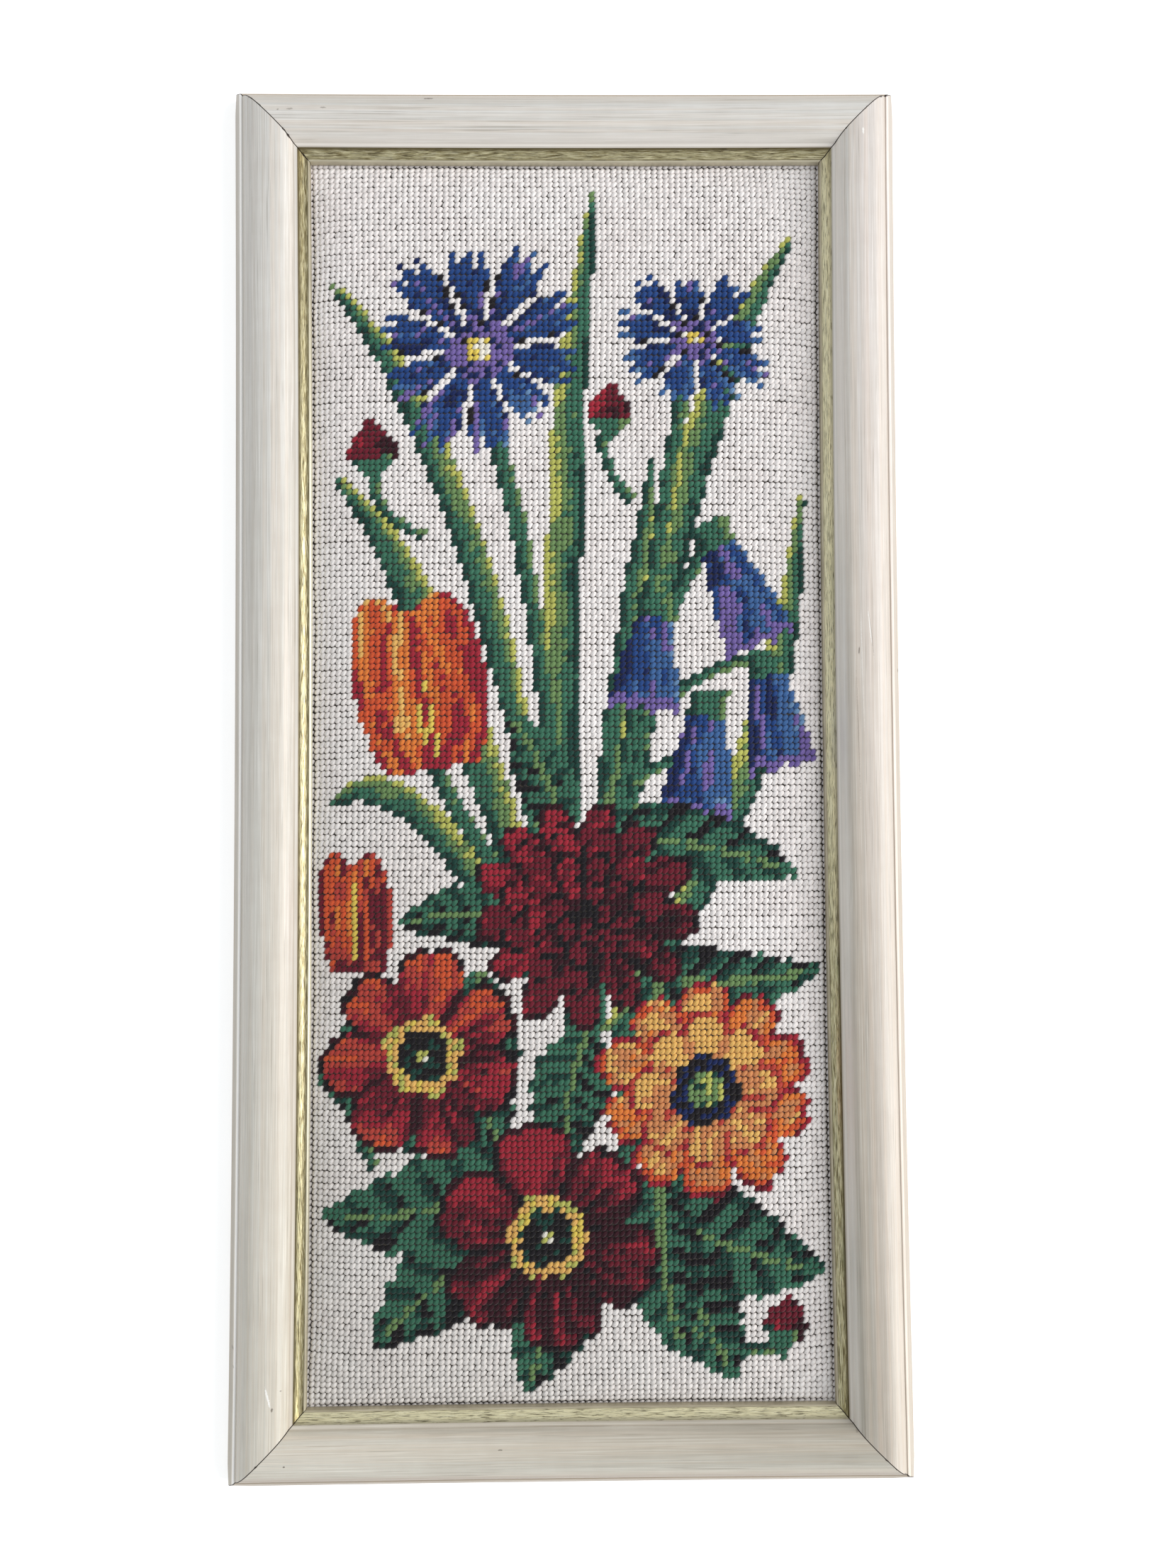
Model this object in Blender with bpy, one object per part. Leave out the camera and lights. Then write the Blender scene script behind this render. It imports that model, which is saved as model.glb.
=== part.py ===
"""A framed stitched panel, lying on its back.

Wool-stitched canvas is stretched over a bevelled board, and four mitred rails of one
moulding hold both in their rebate. Metres, +Z out of the picture's face, +Y up the
picture and +X to its right. The origin is under the middle of the frame, on the surface
that its back lies on.
"""
import math

import bmesh
import bpy

MM = 0.001

# The frame's opening, measured between the sight edges at the corners
SIGHT_WIDTH = 200.0 * MM
SIGHT_HEIGHT = 479.2 * MM

# The moulding
RAIL_WIDTH = 30.9 * MM
REBATE_WIDTH = 6.5 * MM
LIP_UNDERSIDE = 7.2 * MM
SIDE_HEIGHT = 3.6 * MM

# How far the middle of a rail is drawn in by the stretched canvas
LONG_RAIL_BOW = 1.27 * MM
SHORT_RAIL_BOW = 0.33 * MM

# Gap kept between two pieces that touch
GAP = 0.3 * MM

# The board and the canvas, from the back forward
BOARD_RECESS = 1.2 * MM
BOARD_RIM = 3.0 * MM
CANVAS_THICKNESS = 2.4 * MM

# The canvas swells from the sight edge to the middle of the picture
SWELL_HEIGHT = 5.0 * MM
SWELL_REACH = 12.0 * MM

# How finely the pieces are divided
CURVE_STEPS = 2
LONG_RAIL_STATIONS = 16
SHORT_RAIL_STATIONS = 8
MIDDLE_LINES = 7
BORDER_INSETS = [0.0, 3.0, 7.0, 12.0, 19.0, 29.0, 45.0]

# The moulding's face from the sight edge outward. Each stretch runs smoothly through its
# points (distance out from the sight edge, height above the back), in millimetres.
FACE_STRETCHES = [
    ("lip", [(0.0, 9.3), (0.15, 9.8), (0.6, 10.0)]),
    ("gold cove", [(0.8, 9.85), (1.5, 9.95), (2.4, 10.45), (3.2, 11.3), (4.1, 12.4)]),
    ("fillet", [(4.2, 12.5), (4.8, 12.8), (5.45, 13.1)]),
    ("broad face", [(5.6, 13.2), (6.2, 14.7), (6.9, 15.9), (8.0, 17.1), (9.5, 18.0),
                    (12.5, 18.5), (15.0, 18.5), (18.0, 18.1), (20.5, 17.3), (22.3, 16.0),
                    (24.0, 14.1), (25.2, 12.1), (26.2, 10.1)]),
    ("outer bead", [(26.3, 9.9), (26.7, 10.15), (27.3, 9.6), (28.0, 8.4), (28.3, 7.8)]),
    ("side", [(28.5, 7.5), (29.7, 5.6), (30.7, 4.1)]),
]

IVORY_PAINT = {"name": "ivory_paint", "color": (0.72, 0.69, 0.62, 1.0), "roughness": 0.45}
STITCHED_WOOL = {"name": "stitched_wool", "color": (0.70, 0.66, 0.63, 1.0), "roughness": 0.9}
BOARD_BROWN = {"name": "board_brown", "color": (0.33, 0.23, 0.14, 1.0), "roughness": 0.8}


def clear_scene():
    for item in list(bpy.data.objects):
        bpy.data.objects.remove(item, do_unlink=True)


def make_material(finish):
    material = bpy.data.materials.new(finish["name"])
    material.use_nodes = True
    shader = material.node_tree.nodes["Principled BSDF"]
    shader.inputs["Base Color"].default_value = finish["color"]
    shader.inputs["Roughness"].default_value = finish["roughness"]
    shader.inputs["Metallic"].default_value = 0.0
    return material


def add_object(name, mesh_builder, material, smooth_angle):
    """Turns a finished bmesh into an object with its faces pointing out."""
    bmesh.ops.recalc_face_normals(mesh_builder, faces=mesh_builder.faces)
    mesh = bpy.data.meshes.new(name)
    mesh_builder.to_mesh(mesh)
    mesh_builder.free()
    mesh.shade_smooth()
    mesh.set_sharp_from_angle(angle=math.radians(smooth_angle))
    mesh.materials.append(material)
    item = bpy.data.objects.new(name, mesh)
    bpy.context.scene.collection.objects.link(item)
    return item


def smooth_through(points, steps):
    """Points of a smooth curve that passes through the given ones."""
    padded = [points[0]] + points + [points[-1]]
    curve = []
    for before, start, end, after in zip(padded, padded[1:], padded[2:], padded[3:]):
        for step in range(steps):
            s = step / steps
            curve.append(tuple(
                0.5 * (2 * b + (c - a) * s + (2 * a - 5 * b + 4 * c - d) * s * s
                       + (3 * b - a - 3 * c + d) * s ** 3)
                for a, b, c, d in zip(before, start, end, after)))
    return curve + [points[-1]]


def rail_section():
    """The moulding's closed section: distance out from the sight edge, height."""
    section = [(0.0, LIP_UNDERSIDE)]
    for _, points in FACE_STRETCHES:
        section += [(out * MM, up * MM) for out, up in smooth_through(points, CURVE_STEPS)]
    section += [
        (RAIL_WIDTH, SIDE_HEIGHT),
        (RAIL_WIDTH, 0.0),
        (REBATE_WIDTH, 0.0),
        (REBATE_WIDTH, LIP_UNDERSIDE),
    ]
    return section


def make_rail(name, half_length, half_across, bow, stations, place, material):
    """One mitred rail. place turns (along, away from the centre, up) into X, Y, Z."""
    mitre_setback = GAP / math.sqrt(2)
    section = rail_section()
    builder = bmesh.new()
    rings = []
    for station in range(stations + 1):
        t = 2 * station / stations - 1
        ring = []
        for out, up in section:
            along = t * (half_length + out - mitre_setback)
            away = half_across + out - bow * (1 - t * t)
            ring.append(builder.verts.new(place(along, away, up)))
        rings.append(ring)
    count = len(section)
    for ring, following in zip(rings, rings[1:]):
        for i in range(count):
            j = (i + 1) % count
            builder.faces.new((ring[i], ring[j], following[j], following[i]))
    builder.faces.new(rings[0])
    builder.faces.new(rings[-1])
    return add_object(name, builder, material, 40)


def border_lines(half_sight, reach, middle_lines):
    """Grid lines across the sheet, close together where it swells near its border."""
    side = [half_sight + reach] + [half_sight - inset * MM for inset in BORDER_INSETS]
    span = 2 * side[-1] / (middle_lines + 1)
    middle = [side[-1] - span * (i + 1) for i in range(middle_lines)]
    return side + middle + [-line for line in reversed(side)]


def swell(x, y):
    """Height that the canvas stands above its rim, from its place in the opening."""
    inset_x = max(SIGHT_WIDTH / 2 - abs(x), 0.0)
    inset_y = max(SIGHT_HEIGHT / 2 - abs(y), 0.0)
    across = 1 - math.exp(-inset_x / SWELL_REACH)
    upright = 1 - math.exp(-inset_y / SWELL_REACH)
    return SWELL_HEIGHT * across * upright


def make_sheet(name, under, over, material):
    """A sheet in the rebate. under and over give the height of its two faces from the swell."""
    reach = REBATE_WIDTH - GAP
    lines_x = border_lines(SIGHT_WIDTH / 2, reach, MIDDLE_LINES)
    lines_y = border_lines(SIGHT_HEIGHT / 2, reach, MIDDLE_LINES)
    edge_x = lines_x[0]
    edge_y = lines_y[0]

    def drawn_in(x, y):
        pull_x = LONG_RAIL_BOW / edge_x * (1 - (y / edge_y) ** 2)
        pull_y = SHORT_RAIL_BOW / edge_y * (1 - (x / edge_x) ** 2)
        return x * (1 - pull_x), y * (1 - pull_y)

    builder = bmesh.new()
    faces_of_sheet = []
    for height in (under, over):
        faces_of_sheet.append([
            [builder.verts.new((*drawn_in(x, y), height(swell(x, y)))) for x in lines_x]
            for y in lines_y])
    last_row = len(lines_y) - 1
    last_column = len(lines_x) - 1
    for rows in faces_of_sheet:
        for j in range(last_row):
            for i in range(last_column):
                builder.faces.new((rows[j][i], rows[j][i + 1],
                                   rows[j + 1][i + 1], rows[j + 1][i]))
    low, high = faces_of_sheet
    for j in range(last_row):
        for i in (0, last_column):
            builder.faces.new((low[j][i], low[j + 1][i], high[j + 1][i], high[j][i]))
    for i in range(last_column):
        for j in (0, last_row):
            builder.faces.new((low[j][i], low[j][i + 1], high[j][i + 1], high[j][i]))
    return add_object(name, builder, material, 30)


def make_frame():
    """Four rails around the opening."""
    paint = make_material(IVORY_PAINT)
    half_width = SIGHT_WIDTH / 2
    half_height = SIGHT_HEIGHT / 2
    for name, sign in (("rail_top", 1), ("rail_bottom", -1)):
        make_rail(name, half_width, half_height, SHORT_RAIL_BOW, SHORT_RAIL_STATIONS,
                  lambda along, away, up, sign=sign: (along, sign * away, up), paint)
    for name, sign in (("rail_right", 1), ("rail_left", -1)):
        make_rail(name, half_height, half_width, LONG_RAIL_BOW, LONG_RAIL_STATIONS,
                  lambda along, away, up, sign=sign: (sign * away, along, up), paint)


def make_panel():
    """The board in the rebate, and the stitched canvas that is stretched over it."""
    board_rim_top = BOARD_RECESS + BOARD_RIM
    canvas_rim_under = board_rim_top + GAP
    canvas_rim_top = canvas_rim_under + CANVAS_THICKNESS
    make_sheet("mount_board",
               lambda rise: BOARD_RECESS,
               lambda rise: board_rim_top + rise,
               make_material(BOARD_BROWN))
    make_sheet("stitched_canvas",
               lambda rise: canvas_rim_under + rise,
               lambda rise: canvas_rim_top + rise,
               make_material(STITCHED_WOOL))


clear_scene()
make_frame()
make_panel()
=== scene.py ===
"""The finish of the framed stitched panel: streaked moulding, gilt band and wool stitches.

Metres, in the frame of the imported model: +Z out of the picture's face, +Y up the picture
and +X to its right, with the back lying on the surface at height 0. Lengths in the tables
below are in millimetres, and the flower chart counts in stitches from its top left.
"""
import math

import bmesh
import bpy
import numpy as np
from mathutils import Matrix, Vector


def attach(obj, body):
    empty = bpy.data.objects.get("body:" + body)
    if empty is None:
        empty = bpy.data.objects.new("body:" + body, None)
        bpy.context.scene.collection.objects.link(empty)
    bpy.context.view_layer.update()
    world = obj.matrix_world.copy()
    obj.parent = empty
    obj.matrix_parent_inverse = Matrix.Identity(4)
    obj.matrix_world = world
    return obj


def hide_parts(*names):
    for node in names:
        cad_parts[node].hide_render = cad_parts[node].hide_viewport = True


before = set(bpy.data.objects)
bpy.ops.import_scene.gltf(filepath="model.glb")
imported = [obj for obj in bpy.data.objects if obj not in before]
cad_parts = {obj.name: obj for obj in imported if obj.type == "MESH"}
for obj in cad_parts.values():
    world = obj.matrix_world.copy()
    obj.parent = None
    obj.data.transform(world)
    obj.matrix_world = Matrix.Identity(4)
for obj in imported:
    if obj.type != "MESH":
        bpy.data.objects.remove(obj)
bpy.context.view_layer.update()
scene = bpy.context.scene

MM = 0.001

# Sizes

# The frame's opening and its moulding
SIGHT_WIDTH = 200.0 * MM
SIGHT_HEIGHT = 479.2 * MM
RAIL_WIDTH = 30.9 * MM
REBATE_WIDTH = 6.5 * MM
LIP_UNDERSIDE = 7.2 * MM
SIDE_HEIGHT = 3.6 * MM
LONG_RAIL_BOW = 1.27 * MM
SHORT_RAIL_BOW = 0.33 * MM
GAP = 0.3 * MM
MITRE_GAP = 0.18 * MM
MITRE_LINE = 0.25 * MM
MITRE_CHIP = 0.8 * MM
OUTER_CORNER_RADIUS = 1.5 * MM
CURVE_STEPS = 4
LONG_RAIL_STATIONS = 64
SHORT_RAIL_STATIONS = 32
SHARP_ANGLE = math.radians(35)

# In the UV map that tells a finish where it is on a rail, each rail starts this far on
RAILS = ("top", "bottom", "right", "left")
RAIL_STEP = 3.1
RAIL_MAP = "along_out"

# Each stretch of the moulding's face, from the sight edge outward: its finish, and points
# (distance out from the sight edge, height above the back) that it runs smoothly through
FACE_STRETCHES = [
    ("cream lip", [(0.0, 9.3), (0.15, 9.8), (0.6, 10.0)]),
    ("worn gold", [(0.8, 9.85), (1.5, 9.95), (2.4, 10.45), (3.2, 11.3), (4.1, 12.4)]),
    ("brushed ivory", [(4.2, 12.5), (4.8, 12.8), (5.45, 13.1)]),
    ("brushed ivory", [(5.6, 13.2), (6.2, 14.7), (6.9, 15.9), (8.0, 17.1), (9.5, 18.0),
                       (12.5, 18.5), (15.0, 18.5), (18.0, 18.1), (20.5, 17.3), (22.3, 16.0),
                       (24.0, 14.1), (25.2, 12.1), (26.2, 10.1)]),
    ("brushed ivory", [(26.3, 9.9), (26.7, 10.15), (27.3, 9.6), (28.0, 8.4), (28.3, 7.8)]),
    ("brushed ivory", [(28.5, 7.5), (29.7, 5.6), (30.7, 4.1)]),
]

# The canvas on its board
CANVAS_RIM_TOP = 6.9 * MM
HALF_CANVAS_X = SIGHT_WIDTH / 2 + (REBATE_WIDTH - GAP)
HALF_CANVAS_Y = SIGHT_HEIGHT / 2 + (REBATE_WIDTH - GAP)
SWELL_HEIGHT = 5.0 * MM
SWELL_REACH = 12.0 * MM
GIRTH_STEPS = 2000

# The cloth under the stitches: how far its two faces lie below them, and its grid
CLOTH_DEPTHS = (2.3 * MM, 1.1 * MM)
CLOTH_COLUMNS = 49
CLOTH_ROWS = 105
CLOTH_CROWDING = 0.98

# The stitches
COLUMNS = 90
ROWS = 213
PITCH = 2.272 * MM
STITCHES_PER_PIECE = 5000

# The drift of the stitches from an even grid, in stitches, and the draw that it starts from
ROW_SHIFT = 0.016
ROW_ZIGZAG = 0.014
DRIFT_ACROSS = 0.34
DRIFT_UP = 0.40
STITCH_SHIFT = 0.028
PLACE_SEED = 20

# One strand of wool, by the inputs of the tree that lays it
STRAND = {
    "Strand Length": 2.98 * MM,
    "Strand Width": 2.12 * MM,
    "Strand Height": 1.80 * MM,
    "End Dip": 0.36 * MM,
    "Fullness": 0.36,
    "End Slant": 0.26,
    "Lean": math.radians(57),
    "Lean Spread": math.radians(7),
    "Size Spread": 0.07,
    "Fluff": 0.30 * MM,
}


# Node trees in short words

WHITE = (1.0, 1.0, 1.0)


def screen(colour):
    """A colour as a screen shows it, 0 to 255, as the light that a surface gives back."""
    return tuple(c / 3294.6 if c <= 10 else ((c / 255 + 0.055) / 1.055) ** 2.4 for c in colour)


class Bench:
    """Adds nodes to one tree. A socket's value may be a number or another node's output."""

    def __init__(self, tree):
        self.tree = tree

    def add(self, kind, values=(), **settings):
        node = self.tree.nodes.new(kind)
        for name, value in settings.items():
            setattr(node, name, value)
        for key, value in dict(values).items():
            self.feed(node.inputs[key], value)
        return node

    def take(self, kind, values=(), **settings):
        """The first output of a new node."""
        return self.add(kind, values, **settings).outputs[0]

    def feed(self, socket, value):
        if isinstance(value, bpy.types.NodeSocket):
            self.tree.links.new(value, socket)
        else:
            socket.default_value = value

    def sum(self, operation, *values):
        return self.take("ShaderNodeMath", enumerate(values), operation=operation)

    def plus(self, first, second):
        return self.sum("ADD", first, second)

    def minus(self, first, second):
        return self.sum("SUBTRACT", first, second)

    def times(self, first, second):
        return self.sum("MULTIPLY", first, second)

    def larger(self, first, second):
        return self.sum("MAXIMUM", first, second)

    def size_of(self, value):
        return self.sum("ABSOLUTE", value)

    def vector(self, operation, *values):
        return self.take("ShaderNodeVectorMath", enumerate(values), operation=operation)

    def joined(self, x, y, z):
        return self.take("ShaderNodeCombineXYZ", {"X": x, "Y": y, "Z": z})

    def parts(self, vector):
        return self.add("ShaderNodeSeparateXYZ", {0: vector}).outputs

    def noise(self, place, scale=1.0, detail=3.0, roughness=0.55):
        return self.take("ShaderNodeTexNoise", {
            "Vector": place, "Scale": scale, "Detail": detail, "Roughness": roughness})

    def between(self, value, low, high, to_low=0.0, to_high=1.0):
        """value as it goes from low to high, held at both ends."""
        return self.take("ShaderNodeMapRange", {
            "Value": value, "From Min": low, "From Max": high, "To Min": to_low, "To Max": to_high})

    def ramp(self, value, *stops):
        """The colour at value, between the given (value, colour) stops."""
        node = self.add("ShaderNodeValToRGB", {0: value})
        marks = node.color_ramp.elements
        while len(marks) < len(stops):
            marks.new(0.5)
        for mark, (place, colour) in zip(marks, stops):
            mark.position = place
            mark.color = (*colour, 1.0)
        return node.outputs[0]

    def mix(self, share, first, second, how="MIX"):
        node = self.add("ShaderNodeMix", {0: share, 6: first, 7: second},
                        data_type="RGBA", blend_type=how)
        return node.outputs[2]


class Finish(Bench):
    """The nodes of one new material. Its colour is built up in layers."""

    def __init__(self, name):
        self.material = bpy.data.materials.new(name)
        self.material.use_nodes = True
        super().__init__(self.material.node_tree)
        self.shader = self.tree.nodes["Principled BSDF"].inputs
        self.place = self.add("ShaderNodeTexCoord").outputs["Object"]
        self.aside, self.height, _ = self.parts(self.place)
        self.colour = (*WHITE, 1.0)

    def start(self, value, low, high, *stops):
        """The first layer: as value goes from low to high, (share, screen colour) stops."""
        self.colour = self.ramp(self.between(value, low, high),
                                *((share, screen(colour)) for share, colour in stops))

    def lay(self, share, colour):
        """Lays a share of a screen colour over what is there."""
        self.colour = self.mix(share, self.colour, (*screen(colour), 1.0))

    def cover(self, value, low, high, most, colour):
        """Lays colour, none of it where value is low and most where it's high."""
        self.lay(self.between(value, low, high, 0.0, most), colour)

    def tint(self, share, factors, unchanged=WHITE):
        """Multiplies the colour by the factors where share is 1."""
        factor = self.mix(share, (*unchanged, 1.0), (*factors, 1.0))
        self.colour = self.mix(1.0, self.colour, factor, "MULTIPLY")

    def dress(self, uneven, rough, relief=None, depth=0.0, strength=1.0):
        """Feeds the shader. rough is the roughness where uneven is 0.3, and where it is 0.7."""
        self.feed(self.shader["Base Color"], self.colour)
        self.feed(self.shader["Roughness"], self.between(uneven, 0.3, 0.7, *rough))
        if relief:
            self.feed(self.shader["Normal"], self.take("ShaderNodeBump", {
                "Height": relief, "Distance": depth, "Strength": strength}))
        return self.material


class RailFinish(Finish):
    """A finish that also reads its place along a rail, and out from the opening across it."""

    def __init__(self, name):
        super().__init__(name)
        self.along, self.out, _ = self.parts(self.take("ShaderNodeUVMap", uv_map=RAIL_MAP))

    def on(self, *rails):
        """1 on the named rails and 0 on the others."""
        total = 0.0
        for rail in rails:
            off = self.size_of(self.minus(self.along, RAILS.index(rail) * RAIL_STEP))
            total = self.larger(self.between(off, 1.0, 0.9), total)
        return total

    def streaks(self, along_scale, out_scale, detail, roughness=0.55, wander=0.0):
        """Noise that is drawn out along the rail."""
        place = self.joined(self.times(self.along, along_scale),
                            self.times(self.plus(self.out, wander), out_scale), 0.0)
        return self.noise(place, 1.0, detail, roughness)

    def level(self, *stops):
        """A number that follows the distance out through (millimetres, number) stops."""
        return self.ramp(self.sum("DIVIDE", self.out, RAIL_WIDTH), *(
            (out * MM / RAIL_WIDTH, (number,) * 3) for out, number in stops))

    def marked(self, marks):
        """How strongly each point is marked, 0 to 1."""
        uneven = self.times(self.noise(self.place, 1700.0, 2.0), 1.2)
        total = 0.0
        for x, y, half_across, half_up, turn, strength in marks:
            offset = self.take("ShaderNodeMapping", {
                "Vector": self.place,
                "Location": (x * MM, y * MM, 0.0),
                "Rotation": (0.0, 0.0, math.radians(turn)),
                "Scale": (half_across * MM, half_up * MM, 1.0)}, vector_type="TEXTURE")
            flat = self.vector("MULTIPLY", offset, (1.0, 1.0, 0.0))
            distance = self.add("ShaderNodeVectorMath", {0: flat}, operation="LENGTH").outputs[1]
            mark = self.between(self.plus(distance, uneven), 1.55, 1.15, 0.0, strength)
            total = self.larger(mark, total)
        return total

    def mitre_wear(self):
        """Dark edges and small chips along the four mitres, 0 to 1."""
        from_side = self.minus(self.size_of(self.aside), SIGHT_WIDTH / 2)
        from_end = self.minus(self.size_of(self.height), SIGHT_HEIGHT / 2)
        from_mitre = self.size_of(self.minus(from_side, from_end))
        chips = self.noise(self.place, 260.0, 2.0)
        width = self.between(chips, 0.58, 0.74, MITRE_LINE, MITRE_CHIP)
        return self.between(self.sum("DIVIDE", from_mitre, width), 1.25, 0.75)


# Finishes

# Marks on the moulding: x and y of the middle, half length across and up, turn in degrees,
# strength
KNOCKS = [
    (-52.7, 260.4, 2.4, 0.5, 2, 0.8), (-110.4, 255.2, 0.5, 0.45, 0, 0.45),
    (-105.8, 255.4, 1.7, 0.5, 3, 0.4), (-92.9, 256.0, 1.4, 0.4, 0, 0.45),
    (-130.0, 22.0, 0.4, 2.2, 0, 0.35), (110.7, 45.0, 0.28, 1.9, -4, 0.75),
    (110.0, 12.0, 0.3, 30.0, 1, 0.25), (115.6, 51.0, 0.3, 10.0, 6, 0.3),
    (129.3, 39.2, 0.4, 0.8, 0, 0.8), (-128.0, -217.0, 0.7, 1.0, 20, 0.45),
    (-127.4, -223.5, 0.5, 0.8, 0, 0.4), (-110.5, -235.4, 0.5, 0.9, -25, 0.7),
    (-107.6, -229.1, 0.4, 0.3, 0, 0.6), (-106.0, -256.0, 0.5, 0.45, 0, 0.75),
    (-26.3, -250.7, 1.1, 0.35, 0, 0.55), (106.2, -246.5, 0.8, 0.5, 30, 0.3),
]
BRUISES = [
    (-112.0, -231.0, 0.5, 4.6, 14, 0.9), (115.3, 247.0, 0.5, 1.6, 0, 0.9),
    (115.0, 54.0, 0.35, 8.0, 6, 0.7), (111.9, 36.0, 0.3, 26.0, 1, 0.3),
]

# Washes over the ivory, painted shade and painted highlights among them, in the order in which
# they lie: rails, colour, and stops of (distance out, share)
WASHES_AND_PAINTED_LIGHT = [
    # painted shade beside the gold, under the broad face, down its outside and on the side
    (RAILS, (152, 140, 122), [
        (4.15, 0.55), (4.6, 0.2), (4.9, 0.05), (5.2, 0.1), (5.5, 0.5), (5.85, 0.0), (18.0, 0.0),
        (21.0, 0.12), (23.6, 0.25), (25.6, 0.45), (26.25, 0.45), (26.5, 0.0), (27.9, 0.0),
        (28.4, 0.5), (30.9, 0.55)]),
    # a painted highlight on the outer bead of the left rail
    (["left"], (252, 250, 246), [(26.2, 0.0), (26.35, 1.0), (27.4, 1.0), (27.8, 0.0)]),
    # darker down the outside of the top rail
    (["top"], (178, 158, 132),
     [(18.0, 0.0), (21.0, 0.25), (24.0, 0.5), (26.2, 0.8), (27.5, 0.8)]),
    # painted light beside the gold on the top and right rails
    (["top", "right"], (254, 249, 243), [(4.5, 0.0), (4.9, 0.45), (6.8, 0.45), (8.0, 0.0)]),
    # darker down the outside of the bottom rail too
    (["bottom"], (164, 144, 124), [(20.5, 0.0), (23.0, 0.55), (26.2, 0.5)]),
]


def brushed_ivory():
    """Ivory paint dragged along the rail, so that it lies in thick and thin streaks."""
    paint = RailFinish("brushed ivory")
    broad = paint.streaks(6.0, 460.0, 3.0, 0.6)
    fine = paint.streaks(22.0, 2100.0, 3.0, 0.65)
    line = paint.streaks(24.0, 2100.0, 1.0, 0.5)
    cloud = paint.noise(paint.place, 110.0)
    cool = paint.between(paint.streaks(2.0, 520.0, 2.0), 0.36, 0.64, -0.1, 0.9)
    outer = paint.level((6.0, 0.0), (12.0, 0.1), (17.0, 0.4), (24.0, 0.4), (26.2, 0.1))

    paint.start(broad, 0.32, 0.68, (0.0, (218, 215, 209)), (1.0, (230, 227, 222)))
    paint.tint(paint.plus(cool, outer), screen((249, 250, 251)), screen((255, 249, 244)))
    paint.cover(fine, 0.49, 0.34, 0.38, (186, 181, 172))
    paint.cover(fine, 0.53, 0.66, 0.50, (247, 245, 241))
    paint.cover(line, 0.34, 0.30, 0.38, (150, 143, 132))
    paint.tint(paint.between(cloud, 0.65, 0.35), (0.965, 0.955, 0.95))
    # the paint has yellowed towards the foot of the picture, and at its right there it is darkened
    # with painted shade
    paint.tint(paint.between(paint.height, 0.20, -0.27), (0.98, 0.96, 0.89))
    low_right_shade = paint.times(paint.between(paint.height, 0.16, -0.26),
                            paint.between(paint.aside, -0.09, 0.11))
    low_right_shade = paint.times(low_right_shade, paint.between(paint.out, 21.0 * MM, 17.0 * MM))
    paint.tint(low_right_shade, (0.68, 0.67, 0.65))
    # and it's a little pinker on the right rail
    pink = paint.times(paint.on("right"), paint.between(paint.out, 8.0 * MM, 15.0 * MM))
    paint.tint(pink, (1.0, 0.955, 0.955))
    # the washes, painted shade and painted highlights among them
    for rails, shade, stops in WASHES_AND_PAINTED_LIGHT:
        paint.lay(paint.times(paint.level(*stops), paint.on(*rails)), shade)
    paint.lay(paint.marked(BRUISES), (252, 250, 246))
    paint.lay(paint.marked(KNOCKS), (84, 70, 58))
    paint.lay(paint.mitre_wear(), (70, 60, 54))
    relief = paint.plus(fine, paint.times(broad, 2.0))
    return paint.dress(broad, (0.50, 0.38), relief, 0.06 * MM, 0.6)


def worn_gold():
    """Gilding rubbed thin along the grain, with the brown ground showing in wavering lines."""
    gilt = RailFinish("worn gold")
    wander = gilt.between(gilt.streaks(110.0, 240.0, 2.0), 0.3, 0.7, -0.16 * MM, 0.16 * MM)
    streak = gilt.streaks(120.0, 3400.0, 3.0, 0.65, wander)
    hair = gilt.streaks(60.0, 4000.0, 2.0, 0.6, wander)
    fleck = gilt.streaks(170.0, 3400.0, 3.0, 0.65, wander)

    gilt.start(streak, 0.32, 0.68, (0.0, (86, 76, 46)), (0.22, (152, 140, 98)),
               (0.45, (214, 205, 160)), (1.0, (244, 238, 206)))
    gilt.cover(hair, 0.43, 0.36, 0.8, (72, 62, 36))
    # painted shade in the creases along both edges of the gold
    brown = gilt.level((0.6, 0.3), (0.8, 0.6), (1.1, 0.2), (1.4, 0.0), (3.15, 0.0), (3.7, 0.7),
                       (4.1, 1.0))
    gilt.lay(brown, (84, 74, 44))
    # the gilding is darker along the left rail's hollow and at its head, and all over the top rail:
    # partly rubbed thin, partly painted shade where it gives back less light
    hollow_shade = gilt.level((0.9, 0.0), (1.1, 0.75), (2.1, 0.7), (2.7, 0.0))
    head_shade = gilt.between(gilt.height, 0.10, 0.22, 0.0, 0.55)
    rubbed = gilt.larger(gilt.times(gilt.larger(hollow_shade, head_shade), gilt.on("left")),
                         gilt.times(gilt.on("top"), 0.42))
    gilt.lay(rubbed, (112, 98, 62))
    # the bottom rail and the upper part of the right one are brighter, partly with more gilding
    # kept and partly with painted reflection; the foot of the right one is darker, partly worn and
    # partly painted shade
    worn_and_shaded_foot = gilt.times(gilt.on("right"), gilt.between(gilt.height, 0.02, -0.14, 0.0, 0.6))
    kept = gilt.minus(gilt.times(gilt.on("bottom", "right"), 0.42), worn_and_shaded_foot)
    gilt.lay(gilt.larger(kept, 0.0), (255, 247, 212))
    gilt.lay(gilt.times(worn_and_shaded_foot, 0.4), (84, 74, 44))
    # short flecks, dark where the gilding is gone and pale where it still shines
    gilt.cover(fleck, 0.46, 0.38, 0.75, (70, 60, 38))
    shining = gilt.times(gilt.between(fleck, 0.54, 0.64, 0.0, 0.65),
                         gilt.between(gilt.out, 3.8 * MM, 3.2 * MM))
    gilt.lay(shining, (246, 238, 198))
    gilt.lay(gilt.mitre_wear(), (58, 48, 38))
    gilt.shader["Metallic"].default_value = 0.65
    return gilt.dress(streak, (0.45, 0.28), streak, 0.08 * MM, 0.7)


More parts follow.
